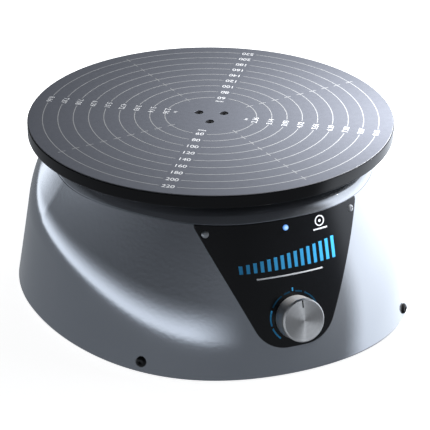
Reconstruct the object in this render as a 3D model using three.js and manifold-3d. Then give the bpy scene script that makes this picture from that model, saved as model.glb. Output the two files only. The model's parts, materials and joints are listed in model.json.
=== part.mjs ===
// Motorised decorating turntable: a round disc on a spindle, driven by a belt inside a moulded housing
// with a sloped front. Millimetres, +Z up, table plane z = 0, spindle on the Z axis, control panel
// facing -Y. Angles called "round" are measured about the spindle from the panel's centre line,
// positive towards +X.
import * as THREE from "three";
import { mergeVertices } from "three/addons/utils/BufferGeometryUtils.js";
import Module from "manifold-3d";

const wasm = await Module();
wasm.setup();

const DEG = Math.PI / 180;
const GAP = 0.3; // clearance between neighbouring pieces

// turntable disc
const DISC_R = 120;
const DISC_TOP = 118;
const DISC_THICK = 9;
const DISC_EDGE = 0.6; // chamfer of the upper rim
const DISC_UNDER = 1.2; // and of the lower
const DISC_SCREW_PCD_R = 9.5;
const DISC_SCREW_R = 2.9;
const DISC_SCREW_ANGLES = [3, 123, 243];

// housing
const SKIRT_Z = 3; // lower edge of the skirt
const DECK_Z = 105.5; // top of the flat deck under the disc
const WALL = 3.2;
const WALL_HALF_WIDTH = 129.2;
const WALL_FRONT = 158;
const WALL_REAR = 132.5;
const WALL_POWER = 2.01;
const FRONT_FLAT = 12; // how much the wall's front is flattened
const WALL_LEAN = 13.6; // inward lean over LEAN_HEIGHT
const WALL_BOW = 0.1; // how much of the lean comes early
const LEAN_HEIGHT = 90;
const FACE_TOP_Z = 97.5; // where the sloped face rolls over into the deck, at the front
const FACE_TOP_DIP = 9; // how much lower that is at the sides and rear
const FACE_HALF_WIDTH = 96.4;
const FACE_FRONT = 118.5;
const FACE_REAR = 121.6;
const FACE_POWER = 2.36;
const FACE_SLOPE = 0.33; // radial growth per millimetre down the sloped face
const SIDE_SLOPE = 0.35; // more of it at the sides
const CREASE_FRONT = 3.6; // width of the crease's fillet at the front
const CREASE_SIDE = 5.2; // and at the sides
const HEM_R = 2; // rounding of the skirt's lower edge
const DECK_HOLE_R = 30;
const HOUSING_SEGMENTS = 72;

// control panel, in the plane tangent to the sloped face; "up" is measured from the knob's centre
const KNOB_Z = 39;
const SLOPE_ANGLE = Math.atan(FACE_SLOPE);
const PANEL_BOTTOM = -19;
const PANEL_TOP_Z = 97.3;
const PANEL_CORNER_R = 22;
const PANEL_CORNER_X = 6;
const PANEL_CORNER_UP = 3;
const PANEL_SIDE_START = 28.7; // half width level with the knob
const PANEL_SIDE_SLOPE = 0.438;
const PANEL_TANGENT_UP = -5.8;
const PANEL_SUNK = 0.9;
const PANEL_PROUD = 0.15;
const PANEL_SCREW_ROUND = 24;
const PANEL_SCREW_Z = 92;
const LED_Z = 92.4;
const LED_R = 2.4;

// knob and potentiometer, along the knob's own axis from the panel
const KNOB_R = 13.8;
const KNOB_H = 13.5;
const KNOB_LIFT = 0.8;
const POT_SHAFT_R = 3;
const BUSH_R = 3.6;

// base plate, feet and skirt screws
const BASE_BOTTOM = 5.2;
const BASE_THICK = 2;
const BASE_TOP = BASE_BOTTOM + BASE_THICK;
const SKIRT_SCREW_ROUND = [40, -40, 140, -140];
const SKIRT_SCREW_Z = 10.7;
const FOOT_R = 9;
const FOOT_PLACES = [
  ["front_right", 72, -84],
  ["front_left", -72, -84],
  ["rear_right", 72, 74],
  ["rear_left", -72, 74],
];

// spindle, bearings and belt drive
const SHAFT_R = 4;
const BEARING_R = 11;
const BEARING_W = 7;
const PULLEY_R = 38;
const PULLEY_Z = 53;
const PULLEY_H = 8;
const MOTOR_Y = 72;
const MOTOR_PULLEY_R = 7.6; // five turns of the motor to one of the disc
const MOTOR_R = 18;
const BELT_THICK = 1.2;
const BELT_H = 5;

// electronics and power inlet
const INLET_Z = 30;
const BOARD_TOP = 15.6;
const BOARD_Y = -66;

// ---------- surfaces of the housing ----------

function superellipse(round, halfWidth, front, rear, power) {
  const across = Math.abs(Math.sin(round)) / halfWidth;
  const reach = Math.cos(round) > 0 ? front : rear;
  const along = Math.abs(Math.cos(round)) / reach;
  return (across ** power + along ** power) ** (-1 / power);
}

// Smooth minimum, so that the crease between two faces is a fillet.
function blendedMin(a, b, width) {
  const closeness = Math.max(width - Math.abs(a - b), 0) / width;
  return Math.min(a, b) - (closeness * closeness * width) / 4;
}

// 0 below `low`, 1 above `high`, eased between.
function eased(value, low, high) {
  const share = Math.min(Math.max((value - low) / (high - low), 0), 1);
  return share * share * (3 - 2 * share);
}

// Angle away from the panel's centre line, 0 to 180 degrees.
const away = (round) => Math.acos(Math.cos(round)) / DEG;

function uprightWall(round, z) {
  const plan = superellipse(round, WALL_HALF_WIDTH, WALL_FRONT, WALL_REAR, WALL_POWER);
  const flat = FRONT_FLAT * Math.max(Math.cos(round), 0) ** 8;
  const h = (z - SKIRT_Z) / LEAN_HEIGHT;
  return plan - flat - WALL_LEAN * h * (1 + WALL_BOW * (1 - h));
}

function slopedFace(round, z) {
  const plan = superellipse(round, FACE_HALF_WIDTH, FACE_FRONT, FACE_REAR, FACE_POWER);
  const slope = FACE_SLOPE + SIDE_SLOPE * Math.min(1 - Math.cos(round), 1);
  return plan + slope * (FACE_TOP_Z - z);
}

// The sides, below the shoulder.
function sideRadius(round, z) {
  const fillet = CREASE_FRONT + (CREASE_SIDE - CREASE_FRONT) * eased(away(round), 15, 65);
  return blendedMin(uprightWall(round, z), slopedFace(round, z), fillet);
}

const faceTop = (round) => FACE_TOP_Z - FACE_TOP_DIP * eased(away(round), 35, 90);

// Radius of the housing's outer surface. Above faceTop it is an arc, tangent to the side and the deck.
function outer(round, z) {
  const top = faceTop(round);
  let r = sideRadius(round, Math.min(z, top));
  if (z > top) {
    const slope = (sideRadius(round, top - 0.5) - r) / 0.5;
    const shoulder = (DECK_Z - top) / (1 - Math.sin(Math.atan(slope)));
    const centre = DECK_Z - shoulder;
    const start = Math.sqrt(shoulder ** 2 - (top - centre) ** 2);
    r += Math.sqrt(Math.max(shoulder ** 2 - (z - centre) ** 2, 0)) - start;
  }
  const hem = SKIRT_Z + HEM_R - z;
  if (hem > 0) r -= HEM_R - Math.sqrt(Math.max(HEM_R ** 2 - hem ** 2, 0));
  return r;
}

// ---------- small tools ----------

const lathe = (points, segments) =>
  new THREE.LatheGeometry(points.map(([r, z]) => new THREE.Vector2(r, z)), segments).rotateX(Math.PI / 2);

const disc = (r, z0, z1, segments = 24) => lathe([[0, z0], [r, z0], [r, z1], [0, z1]], segments);

const ring = (inner, r, z0, z1, segments = 24) =>
  lathe([[inner, z0], [r, z0], [r, z1], [inner, z1], [inner, z0]], segments);

const hexNut = (hole, r, z0, z1) => cut(disc(r, z0, z1, 6), disc(hole, z0 - 1, z1 + 1, 14));

const box = (sx, sy, sz, x, y, z) => new THREE.BoxGeometry(sx, sy, sz).translate(x, y, z);

function solid(geometry) {
  const bare = geometry.clone();
  bare.deleteAttribute("normal");
  bare.deleteAttribute("uv");
  const merged = mergeVertices(bare, 1e-4);
  return new wasm.Manifold(
    new wasm.Mesh({
      numProp: 3,
      vertProperties: new Float32Array(merged.attributes.position.array),
      triVerts: new Uint32Array(merged.index.array),
    }),
  );
}

function geometryOf(manifold) {
  const mesh = manifold.getMesh();
  const geometry = new THREE.BufferGeometry();
  geometry.setAttribute("position", new THREE.BufferAttribute(mesh.vertProperties, 3));
  geometry.setIndex(new THREE.BufferAttribute(mesh.triVerts, 1));
  geometry.computeVertexNormals();
  return geometry;
}

function cut(geometry, ...cutters) {
  let result = solid(geometry);
  for (const cutter of cutters) result = result.subtract(solid(cutter));
  return geometryOf(result);
}

function joined(...pieces) {
  let result = solid(pieces[0]);
  for (const piece of pieces.slice(1)) result = result.add(solid(piece));
  return geometryOf(result);
}

// Moves every vertex to move(x, y, z), given as a Vector3.
function warped(geometry, move) {
  const position = geometry.attributes.position;
  const v = new THREE.Vector3();
  for (let i = 0; i < position.count; i++) {
    v.fromBufferAttribute(position, i);
    const to = move(v);
    position.setXYZ(i, to.x, to.y, to.z);
  }
  return geometry;
}

const polar = (r, round, z) => new THREE.Vector3(r * Math.sin(round), -r * Math.cos(round), z);

const root = new THREE.Group();
root.name = "decorating_turntable";

function add(name, geometry, look, parent = root) {
  const mesh = new THREE.Mesh(
    geometry,
    new THREE.MeshStandardMaterial({ color: look[0], roughness: look[1], metalness: look[2] }),
  );
  mesh.name = name;
  parent.add(mesh);
  return mesh;
}

const LOOK = {
  shell: [0x70757d, 0.18, 0.0],
  disc: [0x55565b, 0.45, 0.0],
  panel: [0x0c0d10, 0.3, 0.0],
  blackMetal: [0x141416, 0.35, 0.6],
  steel: [0xb5b7ba, 0.3, 1.0],
  aluminium: [0xc9cacc, 0.28, 1.0],
  brass: [0xc8a24a, 0.35, 1.0],
  rubber: [0x17171a, 0.8, 0.0],
  blackPlastic: [0x1a1a1c, 0.5, 0.0],
  board: [0x1f6b3a, 0.5, 0.0],
  led: [0xcfe6ff, 0.1, 0.0],
  lead: [0xa01818, 0.5, 0.0],
};

// A group whose local +Z is the outward normal of the housing at a place on it, and whose local +Y
// points up the surface.
function onHousing(round, z, tilt) {
  const group = new THREE.Group();
  const r = outer(round, z);
  group.position.copy(polar(r, round, z));
  group.rotation.set(Math.PI / 2 - tilt, 0, round, "ZXY");
  root.add(group);
  group.updateMatrixWorld(true);
  return group;
}

const inPlace = (geometry, group) => geometry.clone().applyMatrix4(group.matrixWorld);

const wallTilt = (round, z) => Math.atan((outer(round, z - 1) - outer(round, z + 1)) / 2);

// ---------- places on the housing ----------

const knobPlace = onHousing(0, KNOB_Z, SLOPE_ANGLE);
const ledPlace = onHousing(0, LED_Z, SLOPE_ANGLE);
const panelScrewPlaces = [1, -1].map((side) =>
  onHousing(side * PANEL_SCREW_ROUND * DEG, PANEL_SCREW_Z, SLOPE_ANGLE),
);
const skirtScrewPlaces = SKIRT_SCREW_ROUND.map((a) =>
  onHousing(a * DEG, SKIRT_SCREW_Z, wallTilt(a * DEG, SKIRT_SCREW_Z)),
);
const inletPlace = onHousing(Math.PI, INLET_Z, wallTilt(Math.PI, INLET_Z));

// ---------- control panel ----------

function panelHalfWidth(up) {
  if (up >= PANEL_TANGENT_UP) return PANEL_SIDE_START + PANEL_SIDE_SLOPE * up;
  return PANEL_CORNER_X + Math.sqrt(Math.max(PANEL_CORNER_R ** 2 - (up - PANEL_CORNER_UP) ** 2, 0));
}

// The panel's outline bent round the sloped face, from `low` to `high` relative to the housing's surface.
function panelSolid(low, high, margin) {
  const columns = 14;
  const rows = 11;
  const top = (PANEL_TOP_Z - KNOB_Z) / Math.cos(SLOPE_ANGLE);
  const flat = new THREE.BoxGeometry(2, 1, 1, columns, 1, rows);
  return warped(flat, (v) => {
    const share = (v.z + 0.5) ** 1.5;
    const inside = PANEL_BOTTOM + (top - PANEL_BOTTOM) * share;
    const up = inside + margin * (2 * share - 1);
    const across = v.x * (panelHalfWidth(inside) + margin);
    const z = KNOB_Z + up * Math.cos(SLOPE_ANGLE);
    const round = Math.asin(across / outer(0, z));
    const r = outer(round, z) + (v.y < 0 ? high : low);
    return polar(r, round, z);
  });
}

function addPanel() {
  const holes = [
    inPlace(disc(BUSH_R + GAP, -6, 6, 16), knobPlace),
    inPlace(disc(LED_R + GAP, -6, 6, 12), ledPlace),
    ...panelScrewPlaces.map((place) => inPlace(disc(1.9, -6, 6, 8), place)),
  ];
  add("control_panel", cut(panelSolid(-PANEL_SUNK, PANEL_PROUD, 0), ...holes), LOOK.panel);
  panelScrewPlaces.forEach((place, i) => {
    const screw = lathe([[0, -5.5], [1.5, -5.5], [1.5, 0.5], [3, 0.5], [2.8, 1.3], [1.6, 1.9], [0, 2]], 12);
    add("panel_screw_" + (i + 1), screw, LOOK.steel, place);
  });
  const lens = lathe([
    [0, -7], [LED_R - 0.4, -7], [LED_R, -6.6], [LED_R, 0.2], [1.8, 1.3], [0.9, 1.9], [0, 2.1],
  ], 12);
  add("power_led", lens, LOOK.led, ledPlace);
}

// ---------- housing ----------

function addHousing() {
  const reference = 300; // profile radii near this are insets from the outer surface
  const outerZ = [3, 3.5, 5, 14, 24, 34, 44, 54, 64, 74, 86, 97.5, 101, 103.6, 105];
  const innerZ = [97, 84, 56, 40, 26, 14];
  const profile = [
    ...outerZ.map((z) => [reference, z]),
    [reference + 0.01, DECK_Z],
    [DECK_HOLE_R, DECK_Z],
    [DECK_HOLE_R, DECK_Z - WALL],
    [reference - WALL - 4, DECK_Z - WALL],
    ...innerZ.map((z) => [reference - WALL, z]),
    [reference - WALL + HEM_R, SKIRT_Z],
    [reference, SKIRT_Z],
  ];
  const body = warped(lathe(profile, HOUSING_SEGMENTS), (v) => {
    const r = Math.hypot(v.x, v.y);
    if (r < reference / 2) return v;
    const round = Math.atan2(v.x, -v.y);
    const z = r < reference - 1 ? v.z : followTop(round, v.z);
    return polar(outer(round, z) + (r - reference), round, z);
  });
  const holes = [
    panelSolid(-PANEL_SUNK - GAP, 4, GAP),
    inPlace(disc(BUSH_R + GAP, -8, 8, 16), knobPlace),
    inPlace(disc(LED_R + GAP, -8, 8, 12), ledPlace),
    ...panelScrewPlaces.map((place) => inPlace(disc(1.9, -8, 8, 8), place)),
    ...skirtScrewPlaces.map((place) => inPlace(disc(2, -8, 8, 8), place)),
    inPlace(disc(5.8, -9, 9, 14), inletPlace),
    ...[0, 120, 240].map((a) => disc(2, 90, 120, 8).translate(...bearingScrewXY(a), 0)),
  ];
  add("housing_shell", cut(body, ...holes), LOOK.shell);
}

// Moves a height given for the front so that it keeps its place relative to the face's top edge.
function followTop(round, z) {
  const top = faceTop(round);
  if (z > FACE_TOP_Z) return DECK_Z - ((DECK_Z - z) * (DECK_Z - top)) / (DECK_Z - FACE_TOP_Z);
  return SKIRT_Z + ((z - SKIRT_Z) * (top - SKIRT_Z)) / (FACE_TOP_Z - SKIRT_Z);
}

function bearingScrewXY(angle) {
  return [40 * Math.cos(angle * DEG), 40 * Math.sin(angle * DEG)];
}

// ---------- base plate, feet, skirt screws ----------

function addBase() {
  const plate = warped(disc(100, BASE_BOTTOM, BASE_TOP, 48), (v) => {
    const r = Math.hypot(v.x, v.y);
    if (r < 50) return v;
    const round = Math.atan2(v.x, -v.y);
    return polar(outer(round, 12) - WALL - 1.2, round, v.z);
  });
  const tabs = SKIRT_SCREW_ROUND.map((a) => {
    const round = a * DEG;
    const tab = box(16, 2.4, 14, 0, 0, BASE_BOTTOM + 7);
    tab.rotateZ(tabTurn(round));
    const at = polar(tabRadius(round), round, 0);
    return tab.translate(at.x, at.y, 0);
  });
  const holes = [
    ...skirtScrewPlaces.map((place) => inPlace(disc(2, -14, 8, 8), place)),
    ...FOOT_PLACES.map(([, x, y]) => disc(2.3, 0, 20, 10).translate(x, y, 0)),
  ];
  add("base_plate", cut(joined(plate, ...tabs), ...holes), LOOK.blackMetal);

  for (const [where, x, y] of FOOT_PLACES) {
    const foot = lathe([
      [0, 1.4], [3.6, 1.4], [3.9, 0], [FOOT_R - 1, 0], [FOOT_R, 1], [FOOT_R - 0.8, BASE_BOTTOM - GAP],
      [1.9, BASE_BOTTOM - GAP], [1.9, BASE_TOP + GAP], [3.4, BASE_TOP + GAP], [2.2, BASE_TOP + 2.6],
      [0, BASE_TOP + 2.6],
    ], 12);
    const mesh = add("foot_" + where, foot, LOOK.rubber);
    mesh.position.set(x, y, 0);
  }
  skirtScrewPlaces.forEach((place, i) => {
    const screw = lathe([
      [0, -9], [1.6, -9], [1.6, 0.3], [3.5, 0.3], [3.4, 1.2], [2.4, 2.1], [1.3, 2.3], [1.1, 1], [0, 1],
    ], 10);
    add("skirt_screw_" + (i + 1), screw, LOOK.blackMetal, place);
  });
}

// Tabs stand square to the housing's normal, just inside the skirt.
function tabTurn(round) {
  const step = 0.02;
  const a = polar(outer(round - step, SKIRT_SCREW_Z), round - step, 0);
  const b = polar(outer(round + step, SKIRT_SCREW_Z), round + step, 0);
  return Math.atan2(b.y - a.y, b.x - a.x);
}

const tabRadius = (round) => outer(round, 20) - WALL - 3.2;

// ---------- disc, hub, spindle ----------

function addTurntable() {
  const bottom = DISC_TOP - DISC_THICK;
  const plate = lathe([
    [0, bottom], [DISC_R - DISC_UNDER, bottom], [DISC_R, bottom + DISC_UNDER],
    [DISC_R, DISC_TOP - DISC_EDGE], [DISC_R - DISC_EDGE, DISC_TOP], [0, DISC_TOP],
  ], 72);
  const places = DISC_SCREW_ANGLES.map((a) => [
    DISC_SCREW_PCD_R * Math.cos(a * DEG),
    DISC_SCREW_PCD_R * Math.sin(a * DEG),
  ]);
  const through = (r, z0, z1) => places.map(([x, y]) => disc(r, z0, z1, 10).translate(x, y, 0));
  const sink = [
    [0, DISC_TOP - 2], [1.9, DISC_TOP - 2], [DISC_SCREW_R + GAP, DISC_TOP - 0.6],
    [DISC_SCREW_R + GAP, DISC_TOP + 2], [0, DISC_TOP + 2],
  ];
  const sinks = places.map(([x, y]) => lathe(sink, 12).translate(x, y, 0));
  add("turntable_disc", cut(plate, ...through(1.9, bottom - 2, DISC_TOP + 2), ...sinks), LOOK.disc);
  places.forEach(([x, y], i) => {
    const top = DISC_TOP - 0.7;
    const screw = lathe([
      [0, 103], [1.5, 103], [1.5, top - 1.7], [DISC_SCREW_R - 0.4, top - 0.6], [DISC_SCREW_R - 0.4, top],
      [1.3, top], [1.1, top - 1.2], [0, top - 1.2],
    ], 10);
    add("disc_screw_" + (i + 1), screw, LOOK.blackMetal).position.set(x, y, 0);
  });
  const hub = lathe([
    [0, 106.6], [SHAFT_R + GAP, 106.6], [SHAFT_R + GAP, 97], [9, 97], [9, 102.6], [26, 102.6],
    [26, bottom - GAP], [0, bottom - GAP],
  ], 28);
  add("drive_hub", cut(hub, ...through(1.9, 100, 112)), LOOK.aluminium);

  const shaft = lathe([
    [0, 46], [SHAFT_R - 0.5, 46], [SHAFT_R, 46.5], [SHAFT_R, 48.6], [SHAFT_R - 0.6, 48.6],
    [SHAFT_R - 0.6, 50.6], [SHAFT_R, 50.6], [SHAFT_R, 106.2], [0, 106.2],
  ], 14);
  add("spindle_shaft", shaft, LOOK.steel);
  add("spindle_clip", ring(SHAFT_R - 0.3, 7.5, 49, 50.2, 14), LOOK.steel);
  add("driven_pulley", pulley(PULLEY_R, SHAFT_R + GAP, 12, 64.5, 40), LOOK.blackPlastic);
}

// A flanged pulley with its hub on one side.
function pulley(seat, bore, hubR, hubTop, segments) {
  const top = PULLEY_Z + PULLEY_H;
  return lathe([
    [bore, PULLEY_Z], [seat + 1.8, PULLEY_Z], [seat + 1.8, PULLEY_Z + 1], [seat, PULLEY_Z + 1.2],
    [seat, top - 1.2], [seat + 1.8, top - 1], [seat + 1.8, top], [hubR, top], [hubR, hubTop],
    [bore, hubTop], [bore, PULLEY_Z],
  ], segments);
}

function addBearings() {
  const flangeTop = DECK_Z - WALL - GAP;
  const seats = [[67, "lower"], [86, "upper"]];
  const upperSeat = seats[1][0] - GAP;
  const lowerSeat = seats[0][0] + BEARING_W + GAP;
  const housing = lathe([
    [BEARING_R + GAP, 66], [17, 66], [17, 94], [22, flangeTop - 3.4], [47, flangeTop - 3.4],
    [47, flangeTop], [BEARING_R + GAP, flangeTop], [BEARING_R + GAP, upperSeat],
    [BEARING_R - 1.6, upperSeat], [BEARING_R - 1.6, lowerSeat], [BEARING_R + GAP, lowerSeat],
    [BEARING_R + GAP, 66],
  ], 24);
  const holes = [0, 120, 240].map((a) => disc(2, 90, 110, 8).translate(...bearingScrewXY(a), 0));
  add("bearing_housing", cut(housing, ...holes), LOOK.aluminium);
  for (const [z, where] of seats) {
    add(`bearing_${where}_outer`, ring(BEARING_R - 2.2, BEARING_R, z, z + BEARING_W, 16), LOOK.steel);
    add(`bearing_${where}_inner`, ring(SHAFT_R + 0.2, SHAFT_R + 2.4, z, z + BEARING_W, 14), LOOK.steel);
  }
  [0, 120, 240].forEach((a, i) => {
    const screw = lathe([
      [0, 95], [1.6, 95], [1.6, DECK_Z + GAP], [3.5, DECK_Z + GAP], [3.3, DECK_Z + 1.6],
      [1.2, DECK_Z + 1.6], [1.1, DECK_Z + 0.8], [0, DECK_Z + 0.8],
    ], 10);
    const [x, y] = bearingScrewXY(a);
    add("bearing_screw_" + (i + 1), screw, LOOK.steel).position.set(x, y, 0);
  });
}

// ---------- motor and belt ----------

// Outline of a loop round both pulleys, `off` outside their belt seats.
function beltLoop(off) {
  const big = PULLEY_R + off;
  const small = MOTOR_PULLEY_R + off;
  const lean = Math.asin((big - small) / MOTOR_Y);
  const points = [];
  const arc = (r, cy, from, to, steps) => {
    for (let i = 0; i <= steps; i++) {
      const a = from + ((to - from) * i) / steps;
      points.push(new THREE.Vector2(r * Math.cos(a), cy + r * Math.sin(a)));
    }
  };
  arc(big, 0, Math.PI - lean, 2 * Math.PI + lean, 28);
  arc(small, MOTOR_Y, lean, Math.PI - lean, 8);
  return points;
}

function addDrive() {
  const loop = new THREE.Shape(beltLoop(GAP + BELT_THICK));
  loop.holes.push(new THREE.Path(beltLoop(GAP)));
  const belt = new THREE.ExtrudeGeometry(loop, { depth: BELT_H, bevelEnabled: false });
  add("drive_belt", belt.translate(0, 0, PULLEY_Z + (PULLEY_H - BELT_H) / 2), LOOK.rubber);

  const motor = new THREE.Group();
  motor.position.set(0, MOTOR_Y, 0);
  root.add(motor);
  add("motor_pulley", pulley(MOTOR_PULLEY_R, 2 + GAP, 5, 62.2, 16), LOOK.brass, motor);
  add("motor_shaft", disc(2, 51, 70, 10), LOOK.steel, motor);
  const can = lathe([
    [2.3, 66.3], [MOTOR_R - 1, 66.3], [MOTOR_R, 67.3], [MOTOR_R, 95], [MOTOR_R - 1, 96], [5, 96],
    [5, 97.4], [0, 97.4], [0, 71], [2.3, 71], [2.3, 66.3],
  ], 20);
  const screwHoles = [-1, 1].map((side) => disc(1.7, 60, 71, 8).translate(side * 11, 0, 0));
  add("motor_body", cut(can, ...screwHoles), LOOK.steel, motor);

  const legX = 28;
  const bracket = joined(
    box(2 * legX + 2, 40, 2.4, 0, 0, 64.8),
    box(2, 40, 66 - BASE_TOP - GAP, legX, 0, (66 + BASE_TOP + GAP) / 2),
    box(2, 40, 66 - BASE_TOP - GAP, -legX, 0, (66 + BASE_TOP + GAP) / 2),
    box(12, 40, 2, legX + 5, 0, BASE_TOP + GAP + 1),
    box(12, 40, 2, -legX - 5, 0, BASE_TOP + GAP + 1),
  );
  const openings = [
    disc(6, 60, 70, 14),
    ...[-1, 1].map((side) => disc(1.9, 60, 70, 8).translate(side * 11, 0, 0)),
    ...[-1, 1].map((side) => disc(1.9, 5, 12, 8).translate(side * (legX + 6), 0, 0)),
  ];
  add("motor_bracket", cut(bracket, ...openings), LOOK.steel, motor);
  [-1, 1].forEach((side, i) => {
    const hung = lathe([[0, 61.6], [2.9, 61.6], [2.9, 63.3], [1.5, 63.3], [1.5, 70], [0, 70]], 8);
    add("motor_screw_" + (i + 1), hung, LOOK.steel, motor).position.set(side * 11, 0, 0);
    const seat = BASE_TOP + 2 * GAP + 2;
    const held = lathe([
      [0, BASE_TOP + 0.1], [1.6, BASE_TOP + 0.1], [1.6, seat], [3, seat], [3, seat + 1.8],
      [0, seat + 1.8],
    ], 8);
    add("bracket_screw_" + (i + 1), held, LOOK.steel, motor).position.set(side * (legX + 6), 0, 0);
  });
}

// ---------- knob and potentiometer ----------

function addKnob() {
  const top = KNOB_LIFT + KNOB_H;
  const bore = POT_SHAFT_R + GAP;
  const boreEnd = top - 2.8;
  const cap = lathe([
    [bore, 6], [10.5, 6], [10.5, KNOB_LIFT], [KNOB_R - 0.4, KNOB_LIFT], [KNOB_R, KNOB_LIFT + 0.5],
    [KNOB_R - 0.1, top - 0.9], [KNOB_R - 0.9, top], [0, top], [0, boreEnd], [bore, boreEnd], [bore, 6],
  ], 36);
  add("knob_cap", cap, LOOK.aluminium, knobPlace);
  add("knob_shaft", disc(POT_SHAFT_R, -9, boreEnd - GAP, 14), LOOK.steel, knobPlace);
  const pot = lathe([
    [bore, -8], [bore, -10], [0, -10], [0, -14.5], [12, -14.5], [12, -WALL - 0.6],
    [BUSH_R, -WALL - 0.6], [BUSH_R, 4.6], [bore, 4.6], [bore, -8],
  ], 16);
  add("speed_potentiometer", pot, LOOK.brass, knobPlace);
  add("potentiometer_nut", hexNut(BUSH_R + GAP, 6.6, 0.6, 3), LOOK.steel, knobPlace);
}

// ---------- electronics and power inlet ----------

function addElectronics() {
  const bottom = BOARD_TOP - 1.6;
  const corners = [[36, 24], [-36, 24], [36, -24], [-36, -24]];
  const holes = corners.map(([x, y]) => disc(1.9, 0, 30, 8).translate(x, y, 0));
  const unit = new THREE.Group();
  unit.position.set(0, BOARD_Y, 0);
  root.add(unit);
  add("circuit_board", cut(box(82, 58, 1.6, 0, 0, bottom + 0.8), ...holes), LOOK.board, unit);
  corners.forEach(([x, y], i) => {
    const post = lathe([
      [0, BASE_TOP + GAP], [3.2, BASE_TOP + GAP], [3.2, bottom - GAP], [1.5, bottom - GAP],
      [1.5, BOARD_TOP + GAP], [3, BOARD_TOP + GAP], [2.6, BOARD_TOP + 2.2], [0, BOARD_TOP + 2.2],
    ], 8);
    add("board_post_" + (i + 1), post, LOOK.brass, unit).position.set(x, y, 0);
  });
  const seat = BOARD_TOP + GAP;
  const fins = [-9, -4.5, 0, 4.5, 9].map((x) => box(1.4, 24, 17, x, 0, seat + 10.5));
  const sink = joined(box(22, 24, 3, 0, 0, seat + 1.5), ...fins);
  add("heatsink", sink.translate(-14, -6, 0), LOOK.aluminium, unit);
  const can = (r, h) => lathe([
    [0, seat], [r, seat], [r, seat + 1.6], [r - 0.4, seat + 2], [r, seat + 2.4], [r, seat + h],
    [0, seat + h],
  ], 12);
  add("capacitor_1", can(6.3, 22), LOOK.blackPlastic, unit).position.set(12, -10, 0);
  add("capacitor_2", can(4, 12), LOOK.blackPlastic, unit).position.set(26, -10, 0);
  add("terminal_block", box(30, 8, 9, 6, 18, seat + 4.5), LOOK.board, unit);
}

function addInlet() {
  const jack = lathe([
    [3, 1.4], [3, -12], [1.2, -12], [1.2, -1], [0, -0.6], [0, -19], [5.2, -19], [5.2, -14],
    [5.4, GAP], [7.5, GAP], [7.5, 1.4], [3, 1.4],
  ], 16);
  add("dc_inlet", jack, LOOK.blackPlastic, inletPlace);
  add("inlet_nut", hexNut(5.7, 8.6, -WALL - 3.4, -WALL - 0.9), LOOK.steel, inletPlace);
}

function addLead(name, points) {
  const path = new THREE.CatmullRomCurve3(points.map((p) => new THREE.Vector3(...p)));
  const section = new THREE.Shape().absarc(0, 0, 1.1, 0, 2 * Math.PI);
  const tube = new THREE.ExtrudeGeometry(section, {
    steps: 18,
    bevelEnabled: false,
    extrudePath: path,
    curveSegments: 3,
  });
  add(name, tube, LOOK.lead);
}

// Each lead drops into the terminal block from above, at its own place along it.
function addLeads() {
  const end = (x) => [[x, BOARD_Y + 18, 38], [x, BOARD_Y + 18, BOARD_TOP + 9.8]];
  addLead("lead_inlet", [
    [0, 108.2, 26.5], [0, 92, 20], [-4, 40, 13], [-30, 0, 16], [-30, -30, 36], ...end(-5),
  ]);
  addLead("lead_motor", [
    [0, MOTOR_Y, 99], [13, 60, 98.8], [40, 36, 80], [52, 0, 50], [34, -34, 44], ...end(10),
  ]);
  addLead("lead_speed", [[0, -118, 32.2], [14, -108, 38], [40, -80, 44], [34, -60, 44], ...end(17)]);
  addLead("lead_led", [[0, -112, 89], [-8, -104, 84], [-40, -80, 66], [-24, -58, 50], ...end(2)]);
}

addHousing();
addPanel();
addBase();
addTurntable();
addBearings();
addDrive();
addKnob();
addElectronics();
addInlet();
addLeads();

export default root;
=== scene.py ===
"""Looks for the motorised decorating turntable.

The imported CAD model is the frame. This script replaces the pieces that show with finer meshes of the same
shape (housing, panel, disc, knob, screws, light), prints the ring scale on the disc, gives every CAD node a
procedural material, and sets up a plain studio. Working lengths are millimetres, turned into metres by MM.
"""

import json
import math

import bmesh
import bpy
from mathutils import Matrix, Vector


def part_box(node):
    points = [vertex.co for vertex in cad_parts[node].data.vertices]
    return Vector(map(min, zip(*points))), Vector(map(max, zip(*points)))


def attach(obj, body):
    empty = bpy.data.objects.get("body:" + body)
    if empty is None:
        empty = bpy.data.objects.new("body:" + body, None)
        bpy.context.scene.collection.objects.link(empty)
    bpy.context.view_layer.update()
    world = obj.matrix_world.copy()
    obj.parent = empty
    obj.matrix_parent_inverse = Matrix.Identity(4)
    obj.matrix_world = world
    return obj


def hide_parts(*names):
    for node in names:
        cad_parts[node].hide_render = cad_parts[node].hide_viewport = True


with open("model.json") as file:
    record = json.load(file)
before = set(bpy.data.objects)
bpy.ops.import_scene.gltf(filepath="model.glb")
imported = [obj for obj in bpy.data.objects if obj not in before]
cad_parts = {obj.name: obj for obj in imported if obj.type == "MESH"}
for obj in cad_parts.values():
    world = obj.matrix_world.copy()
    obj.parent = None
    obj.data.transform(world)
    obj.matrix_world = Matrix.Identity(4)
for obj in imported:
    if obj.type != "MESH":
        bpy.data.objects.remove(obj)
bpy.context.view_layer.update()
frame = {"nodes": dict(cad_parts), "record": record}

MM = 0.001

# ---------- driving dimensions, the CAD part's own ----------

SKIRT_Z = 3.0
DECK_Z = 105.5
WALL = 3.2
WALL_HALF_WIDTH = 129.2
WALL_FRONT = 158.0
WALL_REAR = 132.5
WALL_POWER = 2.01
FRONT_FLAT = 12.0
WALL_LEAN = 13.6
WALL_BOW = 0.1
LEAN_HEIGHT = 90.0
FACE_TOP_Z = 97.5
FACE_TOP_DIP = 9.0
FACE_HALF_WIDTH = 96.4
FACE_FRONT = 118.5
FACE_REAR = 121.6
FACE_POWER = 2.36
FACE_SLOPE = 0.33
SIDE_SLOPE = 0.35
CREASE_FRONT = 3.6
CREASE_SIDE = 5.2
HEM_R = 2.0
DECK_HOLE_R = 30.0

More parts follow.
